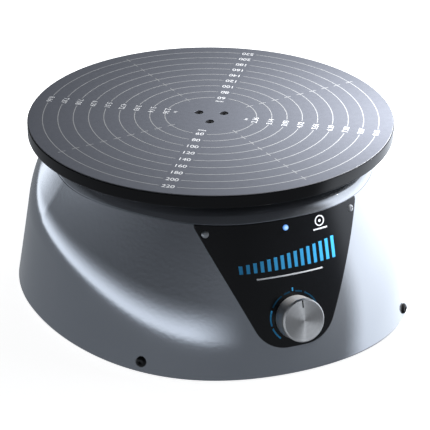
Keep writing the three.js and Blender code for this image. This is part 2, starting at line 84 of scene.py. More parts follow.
KNOB_Z = 39.0
SLOPE_ANGLE = math.atan(FACE_SLOPE)
PANEL_BOTTOM = -19.0
PANEL_TOP_Z = 97.3
PANEL_CORNER_R = 22.0
PANEL_CORNER_X = 6.0
PANEL_CORNER_UP = 3.0
PANEL_SIDE_START = 28.7
PANEL_SIDE_SLOPE = 0.438
PANEL_TANGENT_UP = -5.8
PANEL_SCREW_ROUND = 24.0
PANEL_SCREW_Z = 92.0
LED_Z = 92.4
LED_R = 1.9
SKIRT_SCREW_ROUND = (40.0, -40.0, 140.0, -140.0)
SKIRT_SCREW_Z = 10.7

DISC_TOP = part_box("turntable_disc")[1].z / MM
DISC_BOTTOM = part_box("turntable_disc")[0].z / MM
DISC_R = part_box("turntable_disc")[1].x / MM
KNOB_R = 13.8
KNOB_LIFT = 0.8
KNOB_TOP = KNOB_LIFT + 13.5

# printed ring scale: ring diameters in millimetres, and the same in inches
RING_DIAMETERS = range(60, 221, 20)
MM_LINE = math.radians(-126.16)
INCH_LINE = math.radians(-36.16)
TICK_LINE = math.radians(8.84)
MM_PER_INCH = 25.4


# ---------- surfaces of the housing ----------


def superellipse(turn, half_width, front, rear, power):
    across = abs(math.sin(turn)) / half_width
    reach = front if math.cos(turn) > 0 else rear
    along = abs(math.cos(turn)) / reach
    return (across**power + along**power) ** (-1 / power)


def blended_min(a, b, width):
    closeness = max(width - abs(a - b), 0.0) / width
    return min(a, b) - closeness * closeness * width / 4


def eased(value, low, high):
    share = min(max((value - low) / (high - low), 0.0), 1.0)
    return share * share * (3 - 2 * share)


def away(turn):
    """Degrees away from the panel's centre line, 0 to 180."""
    return math.degrees(math.acos(max(min(math.cos(turn), 1.0), -1.0)))


def upright_wall(turn, z):
    plan = superellipse(turn, WALL_HALF_WIDTH, WALL_FRONT, WALL_REAR, WALL_POWER)
    flat = FRONT_FLAT * max(math.cos(turn), 0.0) ** 8
    h = (z - SKIRT_Z) / LEAN_HEIGHT
    return plan - flat - WALL_LEAN * h * (1 + WALL_BOW * (1 - h))


def sloped_face(turn, z):
    plan = superellipse(turn, FACE_HALF_WIDTH, FACE_FRONT, FACE_REAR, FACE_POWER)
    slope = FACE_SLOPE + SIDE_SLOPE * min(1 - math.cos(turn), 1.0)
    return plan + slope * (FACE_TOP_Z - z)


def side_radius(turn, z):
    """The sides, below the shoulder."""
    fillet = CREASE_FRONT + (CREASE_SIDE - CREASE_FRONT) * eased(away(turn), 15, 65)
    return blended_min(upright_wall(turn, z), sloped_face(turn, z), fillet)


def face_top(turn):
    return FACE_TOP_Z - FACE_TOP_DIP * eased(away(turn), 35, 90)


def outer(turn, z):
    """Radius of the housing's outer surface, `turn` measured from the panel's centre line."""
    top = face_top(turn)
    r = side_radius(turn, min(z, top))
    if z > top:
        slope = (side_radius(turn, top - 0.5) - r) / 0.5
        shoulder = (DECK_Z - top) / (1 - math.sin(math.atan(slope)))
        centre = DECK_Z - shoulder
        start = math.sqrt(shoulder**2 - (top - centre) ** 2)
        r += math.sqrt(max(shoulder**2 - (z - centre) ** 2, 0.0)) - start
    hem = SKIRT_Z + HEM_R - z
    if hem > 0:
        r -= HEM_R - math.sqrt(max(HEM_R**2 - hem**2, 0.0))
    return r


def follow_top(turn, z):
    """Moves a height given for the front so that it keeps its place relative to the face's top edge."""
    top = face_top(turn)
    if z > FACE_TOP_Z:
        return DECK_Z - (DECK_Z - z) * (DECK_Z - top) / (DECK_Z - FACE_TOP_Z)
    return SKIRT_Z + (z - SKIRT_Z) * (top - SKIRT_Z) / (FACE_TOP_Z - SKIRT_Z)


def polar(r, turn, z):
    return Vector((r * math.sin(turn), -r * math.cos(turn), z)) * MM


def on_housing(turn, z):
    """Matrix whose Z is the housing's outward normal at a place, with Y up the surface."""
    tilt = math.atan((outer(turn, z - 1) - outer(turn, z + 1)) / 2)
    turned = Matrix.Rotation(turn, 4, "Z") @ Matrix.Rotation(math.pi / 2 - tilt, 4, "X")
    return Matrix.Translation(polar(outer(turn, z), turn, z)) @ turned


KNOB_PLACE = on_housing(0.0, KNOB_Z)


# ---------- mesh tools ----------


def mesh_object(name, verts, faces, smooth=True):
    mesh = bpy.data.meshes.new(name)
    mesh.from_pydata(verts, [], faces)
    mesh.validate()
    made = bmesh.new()
    made.from_mesh(mesh)
    bmesh.ops.remove_doubles(made, verts=made.verts, dist=1e-7)
    bmesh.ops.recalc_face_normals(made, faces=made.faces)
    made.to_mesh(mesh)
    made.free()
    mesh.polygons.foreach_set("use_smooth", [smooth] * len(mesh.polygons))
    obj = bpy.data.objects.new(name, mesh)
    bpy.context.scene.collection.objects.link(obj)
    return obj


def sharpen(obj, degrees):
    """Marks edges sharper than an angle, so smooth shading stops there."""
    obj.data.set_sharp_from_angle(angle=math.radians(degrees))
    return obj


def grid_faces(rows, columns, wrap):
    faces = []
    for i in range(rows - 1):
        for j in range(columns if wrap else columns - 1):
            k = (j + 1) % columns
            faces.append((i * columns + j, i * columns + k, (i + 1) * columns + k, (i + 1) * columns + j))
    return faces


def lathe(name, profile, segments=64, place=None):
    """Solid of revolution about the local Z axis from (r, z) points in millimetres, from axis to axis."""
    verts = []
    for r, z in profile:
        for j in range(segments):
            a = 2 * math.pi * j / segments
            verts.append(Vector((r * math.cos(a), r * math.sin(a), z)) * MM)
    faces = grid_faces(len(profile), segments, True)
    if profile[0][0] > 0:
        last = (len(profile) - 1) * segments
        faces += [(last + j, last + (j + 1) % segments, (j + 1) % segments, j) for j in range(segments)]
    obj = mesh_object(name, verts, faces)
    sharpen(obj, 30.0)
    if place is not None:
        obj.matrix_world = place
    return obj


def rounded(points, radius, steps=5):
    """Profile with its inner corners rounded by short arcs."""
    out = [points[0]]
    for before, corner, after in zip(points, points[1:], points[2:]):
        c = Vector(corner)
        u = Vector(before) - c
        v = Vector(after) - c
        reach = min(radius, u.length * 0.45, v.length * 0.45)
        a = c + u.normalized() * reach
        b = c + v.normalized() * reach
        for i in range(steps + 1):
            t = i / steps
            p = a * (1 - t) ** 2 + c * 2 * t * (1 - t) + b * t**2
            out.append((p.x, p.y))
    out.append(points[-1])
    return out


def material(name):
    mat = bpy.data.materials.new(name)
    mat.use_nodes = True
    return mat, mat.node_tree, mat.node_tree.nodes["Principled BSDF"]


def dress(obj, mat):
    obj.data.materials.clear()
    obj.data.materials.append(mat)
    return obj


def set_values(shader, **values):
    for key, value in values.items():
        shader.inputs[key.replace("_", " ")].default_value = value


# ---------- materials ----------


def coordinates(tree, kind="Object"):
    return tree.nodes.new("ShaderNodeTexCoord").outputs[kind]


def noise(tree, vector, scale, detail=3.0, roughness=0.5):
    node = tree.nodes.new("ShaderNodeTexNoise")
    node.inputs["Scale"].default_value = scale
    node.inputs["Detail"].default_value = detail
    node.inputs["Roughness"].default_value = roughness
    tree.links.new(vector, node.inputs["Vector"])
    return node.outputs["Fac"]


def ramp(tree, value, stops):
    node = tree.nodes.new("ShaderNodeValToRGB")
    elements = node.color_ramp.elements
    for i, (position, colour) in enumerate(stops):
        element = elements[i] if i < 2 else elements.new(position)
        element.position = position
        element.color = (*colour, 1.0)
    tree.links.new(value, node.inputs["Fac"])
    return node.outputs["Color"]


def span(tree, value, low, high):
    """Maps a 0-1 value to a range of numbers."""
    node = tree.nodes.new("ShaderNodeMapRange")
    node.inputs["To Min"].default_value = low
    node.inputs["To Max"].default_value = high
    tree.links.new(value, node.inputs["Value"])
    return node.outputs["Result"]


def sum_up(tree, operation, *values):
    """Chains one math operation over sockets and plain numbers."""
    out = values[0]
    for value in values[1:]:
        node = tree.nodes.new("ShaderNodeMath")
        node.operation = operation
        for socket, source in zip(node.inputs, (out, value)):
            if isinstance(source, float):
                socket.default_value = source
            else:
                tree.links.new(source, socket)
        out = node.outputs["Value"]
    return out


def add_bump(tree, shader, height, distance, strength=1.0):
    node = tree.nodes.new("ShaderNodeBump")
    node.inputs["Strength"].default_value = strength
    node.inputs["Distance"].default_value = distance
    tree.links.new(height, node.inputs["Height"])
    tree.links.new(node.outputs["Normal"], shader.inputs["Normal"])


def shade(colour, factor):
    return tuple(min(c * factor, 1.0) for c in colour)


def speckled(name, colour, rough, grain, bump, metallic=0.0, vary=0.12, **extra):
    """A material with fine grain in its colour, gloss and surface. grain is in cells per metre."""
    mat, tree, shader = material(name)
    vector = coordinates(tree)
    fine = noise(tree, vector, grain)
    broad = noise(tree, vector, grain / 18)
    stops = [(0.3, shade(colour, 1 - vary)), (0.7, shade(colour, 1 + vary))]
    tree.links.new(ramp(tree, broad, stops), shader.inputs["Base Color"])
    tree.links.new(span(tree, fine, rough * 0.85, rough * 1.15), shader.inputs["Roughness"])
    add_bump(tree, shader, fine, bump)
    set_values(shader, Metallic=metallic, **extra)
    return mat


def housing_paint():
    """Glossy grey-blue lacquer over a fine silver base, with a faint orange peel."""
    mat, tree, shader = material("housing_lacquer")
    vector = coordinates(tree)
    peel = noise(tree, vector, 420, 2.0)
    cloud = noise(tree, vector, 14, 2.0)
    stops = [(0.3, (0.345, 0.365, 0.40)), (0.7, (0.375, 0.395, 0.43))]
    tree.links.new(ramp(tree, cloud, stops), shader.inputs["Base Color"])
    tree.links.new(span(tree, cloud, 0.11, 0.14), shader.inputs["Roughness"])
    add_bump(tree, shader, peel, 0.00002)
    set_values(shader, Metallic=0.8, Coat_Weight=1.0, Coat_Roughness=0.03)
    return mat


def off_axis(tree, vector):
    """Distance of a place from the local Z axis."""
    split = tree.nodes.new("ShaderNodeSeparateXYZ")
    tree.links.new(vector, split.inputs["Vector"])
    x, y = split.outputs["X"], split.outputs["Y"]
    squares = sum_up(tree, "ADD", sum_up(tree, "MULTIPLY", x, x), sum_up(tree, "MULTIPLY", y, y))
    return sum_up(tree, "POWER", squares, 0.5)


def spun_metal(name, colour, rough, anisotropy, metallic=1.0):
    """Metal turned on a lathe: fine circular scratches round the local Z axis."""
    mat, tree, shader = material(name)
    vector = coordinates(tree)
    split = tree.nodes.new("ShaderNodeSeparateXYZ")
    tree.links.new(vector, split.inputs["Vector"])
    rings = tree.nodes.new("ShaderNodeCombineXYZ")
    tree.links.new(off_axis(tree, vector), rings.inputs["X"])
    tree.links.new(split.outputs["Z"], rings.inputs["Y"])
    scratch = noise(tree, rings.outputs["Vector"], 9000, 2.0, 0.7)
    stops = [(0.35, shade(colour, 0.9)), (0.65, shade(colour, 1.08))]
    tree.links.new(ramp(tree, scratch, stops), shader.inputs["Base Color"])
    tree.links.new(span(tree, scratch, rough * 0.8, rough * 1.2), shader.inputs["Roughness"])
    add_bump(tree, shader, scratch, 0.000004)
    tangent = tree.nodes.new("ShaderNodeTangent")
    tangent.direction_type = "RADIAL"
    tangent.axis = "Z"
    tree.links.new(tangent.outputs["Tangent"], shader.inputs["Tangent"])
    set_values(shader, Metallic=metallic, Anisotropic=anisotropy)
    return mat


def ink(name, colour):
    mat, tree, shader = material(name)
    grain = noise(tree, coordinates(tree), 3000)
    stops = [(0.3, shade(colour, 0.93)), (0.7, colour)]
    tree.links.new(ramp(tree, grain, stops), shader.inputs["Base Color"])
    set_values(shader, Roughness=0.55, Specular_IOR_Level=0.2)
    return mat


def lens_glow():
    """A lit lens: pale in the middle, bluer towards its edge."""
    mat, tree, shader = material("led_lens")
    from_axis = sum_up(tree, "DIVIDE", off_axis(tree, coordinates(tree)), LED_R * MM)
    glow = [(0.0, (0.7, 0.88, 1.0)), (0.55, (0.35, 0.65, 1.0)), (1.0, (0.04, 0.18, 0.7))]
    tree.links.new(ramp(tree, from_axis, glow), shader.inputs["Emission Color"])
    glass = [(0.0, (0.02, 0.05, 0.1)), (1.0, (0.01, 0.02, 0.05))]
    tree.links.new(ramp(tree, from_axis, glass), shader.inputs["Base Color"])
    set_values(shader, Roughness=0.1, Emission_Strength=1.05)
    return mat


HOUSING = housing_paint()
DISC_FACE = speckled("disc_laminate", (0.046, 0.049, 0.058), 0.45, 5200, 0.00003, vary=0.04,
                     Specular_IOR_Level=0.1)
DISC_RIM = speckled("disc_rim_gloss", (0.002, 0.002, 0.0025), 0.12, 900, 0.00001, Specular_IOR_Level=0.3)
# Sheet rim colour: partly the laminate's cut edge, partly a painted highlight, lighter grey standing in for
# the chamfer's reflection.
EDGE_AND_PAINTED_HIGHLIGHT = speckled("disc_cut_edge_and_painted_highlight", (0.075, 0.077, 0.084), 0.45, 2500, 0.00002)
WHITE_INK = ink("white_ink", (0.62, 0.63, 0.66))
NUMERAL_INK = ink("numeral_ink", (0.27, 0.275, 0.285))
GREY_INK = ink("ring_ink", (0.135, 0.138, 0.143))
BLUE_INK = ink("blue_ink", (0.05, 0.36, 0.70))
DIM_BLUE_INK = ink("dim_blue_ink", (0.004, 0.045, 0.09))
PANEL = speckled("panel_black", (0.0022, 0.0025, 0.0034), 0.2, 2600, 0.00001, vary=0.2,
                 Specular_IOR_Level=0.42)
LENS = lens_glow()
KNOB_FACE = spun_metal("knob_spun", (0.92, 0.91, 0.90), 0.38, 0.95)
KNOB_SIDE = spun_metal("knob_turned", (0.80, 0.79, 0.78), 0.42, 0.3, metallic=0.85)
POINTER = speckled("pointer_black", (0.012, 0.012, 0.012), 0.45, 3000, 0.00001)
ZINC = speckled("zinc_screw", (0.45, 0.46, 0.48), 0.34, 3000, 0.00001, metallic=0.9)
BLACK_STEEL = speckled("black_oxide", (0.015, 0.015, 0.016), 0.32, 2600, 0.00002, metallic=0.6)

SLOT_LOOKS = {
    "black_screw": BLACK_STEEL,
    "feet": speckled("foot_rubber", (0.016, 0.016, 0.017), 0.75, 1800, 0.00008),
    "belt": speckled("belt_rubber", (0.02, 0.02, 0.021), 0.7, 2400, 0.00006),
    "knob": spun_metal("turned_aluminium", (0.62, 0.62, 0.63), 0.3, 0.8),
    "pcb": speckled("solder_resist", (0.02, 0.13, 0.05), 0.4, 1200, 0.00004),
    "brass": speckled("turned_brass", (0.62, 0.42, 0.15), 0.3, 2600, 0.00001, metallic=1.0),
    "black_plastic": speckled("moulded_black", (0.022, 0.022, 0.023), 0.42, 2800, 0.00004),
    "lead": speckled("lead_insulation", (0.30, 0.02, 0.02), 0.45, 2000, 0.00002),
    "casting": speckled("cast_alloy", (0.42, 0.42, 0.43), 0.5, 1400, 0.00008, metallic=1.0),
    "steel": speckled("plated_steel", (0.52, 0.52, 0.53), 0.3, 2200, 0.00001, metallic=1.0),
    "housing": HOUSING,
    "disc_laminate": DISC_FACE,
    "control_panel": PANEL,
    "lens": LENS,
}


def dress_cad_nodes():
    slots = {part["node"]: part["material_slot"] for part in frame["record"]["subparts"]}
    for name, node in frame["nodes"].items():
        dress(node, SLOT_LOOKS[slots[name]])


# ---------- housing ----------

HEM_STEPS = 6
SIDE_STEPS = 88
SIDE_TOP = 97.1
SEAM_DEPTH = 0.4
SEAM_HEIGHTS = (97.3, 97.42, 97.72, 97.84)  # lower edge, the floor's two edges, upper edge
SHOULDER_STEPS = 16
DECK_RING_R = 60.0
INSIDE_HEIGHTS = (97.0, 84.0, 70.0, 56.0, 42.0, 28.0, 14.0, 8.0)
HOUSING_COLUMNS = 288


def housing_rows():
    """(inset from the outer surface or None, fixed radius or None, height) down the closed profile."""
    rows = []
    for i in range(HEM_STEPS + 1):
        rows.append((0.0, None, SKIRT_Z + HEM_R * (1 - math.cos(math.pi / 2 * i / HEM_STEPS))))
    low = SKIRT_Z + HEM_R
    rows += [(0.0, None, low + (SIDE_TOP - low) * i / SIDE_STEPS) for i in range(1, SIDE_STEPS + 1)]
    rows += [(inset, None, z) for inset, z in zip((0.0, SEAM_DEPTH, SEAM_DEPTH, 0.0), SEAM_HEIGHTS)]
    crown = SEAM_HEIGHTS[-1]
    for i in range(1, SHOULDER_STEPS + 1):
        rows.append((0.0, None, crown + (DECK_Z - crown) * math.sin(math.pi / 2 * i / SHOULDER_STEPS)))
    rows += [(None, DECK_RING_R, DECK_Z), (None, DECK_HOLE_R, DECK_Z), (None, DECK_HOLE_R, DECK_Z - WALL)]
    rows += [(None, DECK_RING_R, DECK_Z - WALL), (WALL + 4, None, DECK_Z - WALL)]
    rows += [(WALL, None, z) for z in INSIDE_HEIGHTS]
    rows.append((WALL - HEM_R, None, SKIRT_Z))
    return rows


def build_housing():
    columns = HOUSING_COLUMNS
    rows = housing_rows()
    verts = []
    for inset, fixed, height in rows:
        for j in range(columns):
            turn = 2 * math.pi * j / columns
            z = follow_top(turn, height) if inset is not None and inset < WALL - HEM_R else height
            r = fixed if inset is None else outer(turn, z) - inset
            verts.append(polar(r, turn, z))
    faces = grid_faces(len(rows), columns, True)
    last = (len(rows) - 1) * columns
    faces += [(last + j, last + (j + 1) % columns, (j + 1) % columns, j) for j in range(columns)]
    housing = sharpen(mesh_object("housing", verts, faces), 32)
    dress(housing, HOUSING)
    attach(housing, "base")
    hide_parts("housing_shell")


# ---------- control panel ----------

PANEL_TOP = (PANEL_TOP_Z - KNOB_Z) / math.cos(SLOPE_ANGLE)
PANEL_TOP_CORNER = 2.0
PANEL_LIFT = 0.35
PANEL_BEVEL = 0.18
PANEL_BEVEL_DEPTH = 0.15
PANEL_BACK = -0.3
PANEL_ROWS = 90
PANEL_COLUMNS = 72


def panel_point(across, up, lift):
    z = KNOB_Z + up * math.cos(SLOPE_ANGLE)
    turn = math.asin(across / outer(0, z))
    return polar(outer(turn, z) + lift, turn, z)


def panel_half_width(up):
    if up < PANEL_TANGENT_UP:
        return PANEL_CORNER_X + math.sqrt(max(PANEL_CORNER_R**2 - (up - PANEL_CORNER_UP) ** 2, 0.0))
    half = PANEL_SIDE_START + PANEL_SIDE_SLOPE * up
    beyond = up - (PANEL_TOP - PANEL_TOP_CORNER)
    if beyond > 0:
        half -= PANEL_TOP_CORNER - math.sqrt(max(PANEL_TOP_CORNER**2 - beyond**2, 0.0))
    return half


def panel_layer(lift, inset, rows, columns):
    verts = []
    for i in range(rows):
        share = (1 - math.cos(math.pi * i / (rows - 1))) / 2
        up = PANEL_BOTTOM + (PANEL_TOP - PANEL_BOTTOM) * share
        half = panel_half_width(up) - inset
        level = up + inset * (1 - 2 * share)
        for j in range(columns):
            verts.append(panel_point(half * (2 * j / (columns - 1) - 1), level, lift))
    return verts


def build_panel():
    rows = PANEL_ROWS
    columns = PANEL_COLUMNS
    front = panel_layer(PANEL_LIFT, PANEL_BEVEL, rows, columns)
    shoulder = panel_layer(PANEL_LIFT - PANEL_BEVEL_DEPTH, 0.0, rows, columns)
    back = panel_layer(PANEL_BACK, 0.0, rows, columns)
    rim = [j for j in range(columns)]
    rim += [i * columns + columns - 1 for i in range(1, rows)]
    rim += [(rows - 1) * columns + j for j in range(columns - 2, -1, -1)]
    rim += [i * columns for i in range(rows - 2, 0, -1)]
    count = rows * columns
    faces = grid_faces(rows, columns, False)
    faces += [tuple(count + len(rim) + v for v in reversed(face)) for face in list(faces)]
    verts = front + [shoulder[v] for v in rim] + back
    for k, v in enumerate(rim):
        n = (k + 1) % len(rim)
        faces.append((v, count + k, count + n, rim[n]))
        faces.append((count + k, count + len(rim) + v, count + len(rim) + rim[n], count + n))
    panel = sharpen(mesh_object("panel", verts, faces), 35)
    dress(panel, PANEL)
    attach(panel, "base")
    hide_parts("control_panel")


def ribbon(verts, faces, left, right, place, low, high):
    """Adds a thin closed strip between two edge lines; place(x, y, lift) puts a flat point on its surface."""
    start = len(verts)
    for a, b in zip(left, right):
        verts += [place(*a, low), place(*b, low), place(*b, high), place(*a, high)]
    for i in range(len(left) - 1):
        k = start + 4 * i
        faces += [(k + s, k + (s + 1) % 4, k + 4 + (s + 1) % 4, k + 4 + s) for s in range(4)]
    end = start + 4 * (len(left) - 1)
    faces += [(start, start + 3, start + 2, start + 1), (end, end + 1, end + 2, end + 3)]


def arc_edges(cx, cy, r, width, start, stop, steps):
    """Inner and outer edge points of an arc, angles in degrees anticlockwise from +X."""
    inner = []
    beyond = []
    for i in range(steps + 1):
        a = math.radians(start + (stop - start) * i / steps)
        direction = (math.cos(a), math.sin(a))
        inner.append((cx + (r - width / 2) * direction[0], cy + (r - width / 2) * direction[1]))
        beyond.append((cx + (r + width / 2) * direction[0], cy + (r + width / 2) * direction[1]))
    return inner, beyond


def bar_edges(x0, y0, x1, y1, steps=4):
    """Left and right edges of an upright bar between two corners."""
    heights = [y0 + (y1 - y0) * i / steps for i in range(steps + 1)]
    return [(x0, y) for y in heights], [(x1, y) for y in heights]


def level_edges(x0, y0, x1, y1, steps=40):
    """Upper and lower edges of a long level bar, in short steps so that it bends with the panel."""
    places = [x0 + (x1 - x0) * i / steps for i in range(steps + 1)]
    return [(x, y1) for x in places], [(x, y0) for x in places]


def panel_print(name, look, strips):
    verts = []
    faces = []
    for left, right in strips:
        ribbon(verts, faces, left, right, panel_point, PANEL_LIFT - 0.05, PANEL_LIFT + 0.04)
    piece = dress(mesh_object(name, verts, faces, smooth=False), look)
    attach(piece, "base")


# printed marks, measured from the knob's centre; angles in degrees anticlockwise from +X
SCALE_R = 16.2
STRONG_ARCS = ((157, 192), (198, 228))
DIM_ARCS = ((24, 62), (68, 84), (96, 112), (118, 150), (-18, 18), (-48, -24))
LEVEL_BARS = 15
LEVEL_REACH = 31.0  # from the centre line to the middle of the last bar
LEVEL_FOOT = 31.0
LEVEL_SHORTEST = 5.0
LEVEL_GROWTH = 8.5
LEVEL_HALF_WIDTH = 1.1
SIGN_AT = (23.5, 56.0)


def print_panel():
    """Speed scale round the knob, a row of level bars and a small turntable sign, all of them generic."""
    strong = [arc_edges(0, 0, SCALE_R, 1.1, a, b, 14) for a, b in STRONG_ARCS]
    strong.append(bar_edges(-0.5, 16.4, 0.5, 18.6))
    for i in range(LEVEL_BARS):
        share = i / (LEVEL_BARS - 1)
        x = -LEVEL_REACH + 2 * LEVEL_REACH * share
        top = LEVEL_FOOT + LEVEL_SHORTEST + LEVEL_GROWTH * share
        strong.append(bar_edges(x - LEVEL_HALF_WIDTH, LEVEL_FOOT, x + LEVEL_HALF_WIDTH, top))
    panel_print("panel_print_blue", BLUE_INK, strong)
    dim = [arc_edges(0, 0, SCALE_R, 0.9, a, b, 14) for a, b in DIM_ARCS]
    panel_print("panel_print_dim", DIM_BLUE_INK, dim)
    white = [level_edges(-22.0, 26.4, 22.0, 27.3)]
    white += [arc_edges(*SIGN_AT, 3.0, 0.7, 0, 360, 40), arc_edges(*SIGN_AT, 0.45, 0.9, 0, 360, 16)]
    white.append(level_edges(18.5, 50.6, 28.5, 51.5, 10))
    panel_print("panel_print_white", WHITE_INK, white)


# ---------- fixings and light ----------


def cut_with(obj, cutter):
    modifier = obj.modifiers.new("cut", "BOOLEAN")
    modifier.operation = "DIFFERENCE"
    modifier.solver = "EXACT"
    modifier.object = cutter
    bpy.context.view_layer.update()
    cut_mesh = bpy.data.meshes.new_from_object(obj.evaluated_get(bpy.context.evaluated_depsgraph_get()))
    obj.modifiers.clear()
    obj.data = cut_mesh
    bpy.data.objects.remove(cutter)


def prism(points, low, high, place):
    """Closed upright prism on a flat outline, in millimetres, used as a cutter."""
    count = len(points)
    verts = [Vector((x, y, z)) * MM for z in (low, high) for x, y in points]
    faces = [tuple(range(count)), tuple(range(2 * count - 1, count - 1, -1))]
    faces += [(j, (j + 1) % count, count + (j + 1) % count, count + j) for j in range(count)]
    obj = mesh_object("cutter", verts, faces, smooth=False)
    obj.matrix_world = place
    return obj


def regular(sides, r):
    """Corners of a regular polygon."""
    angles = [2 * math.pi * i / sides for i in range(sides)]
    return [(r * math.cos(a), r * math.sin(a)) for a in angles]


def cross(arm, half):
    """Outline of a Phillips cross."""
    corners = []
    for k in range(4):
        c = round(math.cos(k * math.pi / 2))
        s = round(math.sin(k * math.pi / 2))
        for x, y in ((arm, -half), (arm, half), (half, half)):
            corners.append((x * c - y * s, x * s + y * c))
    return corners


def screw(name, node, place, profile, recess, depth, look, body="base"):
    head = lathe(name, profile, 48, place)
    top = max(z for _, z in profile)
    cut_with(head, prism(recess, top - depth, top + 1, place))
    sharpen(head, 30)
    dress(head, look)
    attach(head, body)
    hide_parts(node)


# profiles as (r, height) from the surface that the piece sits on
PANEL_SCREW_HEAD = [(0, -5.5), (1.5, -5.5), (1.5, 0.2), (2.3, 0.2), (2.2, 0.7), (1.2, 1.25), (0, 1.3)]
SKIRT_SCREW_HEAD = [(0, -9), (1.6, -9), (1.6, 0.1), (3.5, 0.1), (3.45, 0.9), (2.2, 2.1), (0, 2.2)]
LENS_DOME = [(0, -7), (LED_R, -7), (LED_R, 0.2), (1.7, 1.0), (1.0, 1.5), (0, 1.6)]


def build_panel_screws():
    head = rounded(PANEL_SCREW_HEAD, 0.4)
    for i, side in enumerate((1, -1)):
        place = on_housing(side * math.radians(PANEL_SCREW_ROUND), PANEL_SCREW_Z)
        name = f"panel_screw_head_{i + 1}"
        screw(name, f"panel_screw_{i + 1}", place, head, cross(1.2, 0.28), 0.8, ZINC)


def build_skirt_screws():
    head = rounded(SKIRT_SCREW_HEAD, 0.5)
    hexagon = regular(6, 1.25)
    for i, turn in enumerate(SKIRT_SCREW_ROUND):
        place = on_housing(math.radians(turn), SKIRT_SCREW_Z)
        name = f"skirt_screw_head_{i + 1}"
        screw(name, f"skirt_screw_{i + 1}", place, head, hexagon, 1.3, BLACK_STEEL)


def build_lens():
    lens = lathe("led_dome", rounded(LENS_DOME, 0.6), 40, on_housing(0.0, LED_Z))
    dress(lens, LENS)
    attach(lens, "base")
    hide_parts("power_led")


# ---------- knob ----------


KNURLS = 90
KNURL_DEPTH = 0.05


def knob_profile():
    """From the bore's floor, down inside the skirt and up the outside to the spun face."""
    side = KNOB_R - 0.1
    inside = [(0, KNOB_TOP - 2.8), (3.3, KNOB_TOP - 2.8), (3.3, 6), (10.3, 6), (10.3, KNOB_LIFT)]
    outside = [(KNOB_R - 0.5, KNOB_LIFT), (side, KNOB_LIFT + 0.5), (side, KNOB_TOP - 1.3)]
    return rounded([*inside, *outside, (KNOB_R - 0.9, KNOB_TOP), (0, KNOB_TOP)], 0.15, 3)


def build_knob():
    cap = lathe("knob", knob_profile(), KNURLS * 4, KNOB_PLACE)
    for v in cap.data.vertices:
        r = math.hypot(v.co.x, v.co.y) / MM
        side = KNOB_LIFT + 0.9 < v.co.z / MM < KNOB_TOP - 1.2
        if side and r > KNOB_R - 0.3:
            phase = math.atan2(v.co.y, v.co.x) * KNURLS
            grow = 1 + KNURL_DEPTH * math.cos(phase) / r
            v.co.x *= grow
            v.co.y *= grow
    cap.data.materials.append(KNOB_SIDE)
    cap.data.materials.append(KNOB_FACE)
    for face in cap.data.polygons:
        if face.center.z / MM > KNOB_TOP - 1.4:
            face.material_index = 1
    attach(cap, "knob")
    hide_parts("knob_cap")
    verts = []
    faces = []
    ribbon(verts, faces, *bar_edges(-0.42, KNOB_R - 5.6, 0.42, KNOB_R - 0.9, 1),
           lambda x, y, z: Vector((x, y, z)) * MM, KNOB_TOP - 0.2, KNOB_TOP + 0.03)
    pointer = dress(mesh_object("knob_pointer", verts, faces, smooth=False), POINTER)
    pointer.matrix_world = KNOB_PLACE
    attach(pointer, "knob")


# ---------- turntable disc ----------

SHEET_THICK = 0.5
SHEET_R = DISC_R - 0.5
LOWER_ROUND = 1.3
SCREW_CIRCLE_R = 9.5
SCREW_TURNS = (3.0, 123.0, 243.0)
PRINT_LOW = -0.03
PRINT_HIGH = 0.03
RING_WIDTH = 0.55
TICK_REACH = 2.7
MM_SIZE = 5.6
INCH_SIZE = 5.2
UNIT_SIZE = 3.6


def screw_holes(low, high, r):
    for turn in SCREW_TURNS:
        a = math.radians(turn)
        at = Vector((SCREW_CIRCLE_R * math.cos(a), SCREW_CIRCLE_R * math.sin(a), 0)) * MM
        yield prism(regular(40, r), low, high, Matrix.Translation(at))


def build_disc():
    core_top = DISC_TOP - SHEET_THICK
    rim = []
    for i in range(7):
        a = math.pi / 2 * i / 6
        rim.append((DISC_R - LOWER_ROUND * (1 - math.sin(a)), DISC_BOTTOM + LOWER_ROUND * (1 - math.cos(a))))
    upper_rim = [(DISC_R, core_top - 0.3), (DISC_R - 0.3, core_top)]
    core = lathe("disc_core", [(0, DISC_BOTTOM), *rim, *upper_rim, (0, core_top)], 256)
    sheet_rim = [(SHEET_R, core_top), (SHEET_R, DISC_TOP - 0.22), (SHEET_R - 0.25, DISC_TOP)]
    sheet = lathe("disc_sheet", [(0, core_top), *sheet_rim, (0, DISC_TOP)], 256)
    for piece, r in ((core, 2.9), (sheet, 3.0)):
        for cutter in screw_holes(DISC_TOP - 3, DISC_TOP + 1, r):
            cut_with(piece, cutter)
        sharpen(piece, 30)
        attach(piece, "turntable")
    dress(core, DISC_RIM)
    sheet.data.materials.clear()
    sheet.data.materials.append(DISC_FACE)
    sheet.data.materials.append(EDGE_AND_PAINTED_HIGHLIGHT)
    # The sheet's side and chamfer get the lighter grey: the cut edge plus a painted highlight along the rim.
    for face in sheet.data.polygons:
        if math.hypot(face.center.x, face.center.y) / MM > SHEET_R - 0.4 and face.normal.z < 0.95:
            face.material_index = 1
    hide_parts("turntable_disc")
    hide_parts("turntable_disc")
    head = rounded([(0, 103), (1.5, 103), (1.5, DISC_TOP - 2.6), (2.7, DISC_TOP - 0.9),
                    (2.7, DISC_TOP - 0.5), (0, DISC_TOP - 0.5)], 0.2)
    for i, turn in enumerate(SCREW_TURNS):
        a = math.radians(turn)
        at = Matrix.Translation(Vector((SCREW_CIRCLE_R * math.cos(a), SCREW_CIRCLE_R * math.sin(a), 0)) * MM)
        screw(f"disc_screw_head_{i + 1}", f"disc_screw_{i + 1}", at, head, regular(6, 1.3), 1.2, BLACK_STEEL,
              "turntable")


def on_disc(x, y, lift):
    return Vector((x, y, DISC_TOP + lift)) * MM


